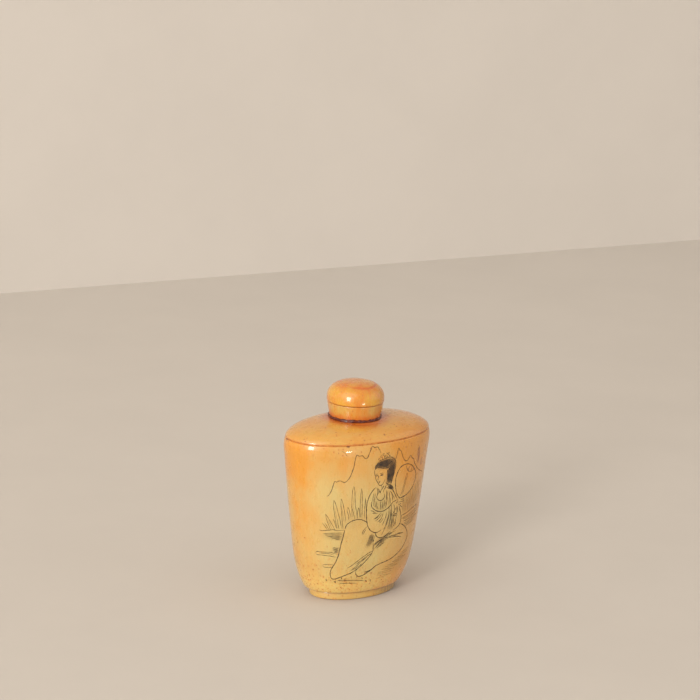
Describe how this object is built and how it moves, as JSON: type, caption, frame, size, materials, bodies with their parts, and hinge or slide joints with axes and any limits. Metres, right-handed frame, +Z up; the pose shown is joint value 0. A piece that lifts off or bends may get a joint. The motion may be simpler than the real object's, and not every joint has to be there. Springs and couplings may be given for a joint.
{
  "type": "snuff bottle",
  "caption": "Small flattened oval snuff bottle of stained bone with a domed shoulder, a flared neck ring, a round domed stopper and a low oval foot.",
  "frame": {"origin": "on the surface that the bottle stands on, under the middle of its foot", "axes": "+Z is up, +X runs across the broad face, and the engraved front faces -Y"},
  "size_m": [0.0478, 0.0286, 0.064],
  "materials": {
    "body_bone": "gloss",
    "shoulder_bone": "gloss",
    "foot_bone": "satin",
    "neck_bone": "gloss",
    "stopper_bone": "gloss"
  },
  "bodies": {
    "root": {"body": "body_bone", "shoulder_plate": "shoulder_bone", "foot_plate": "foot_bone", "neck_ring": "neck_bone", "stopper": "stopper_bone"}
  },
  "joints": []
}
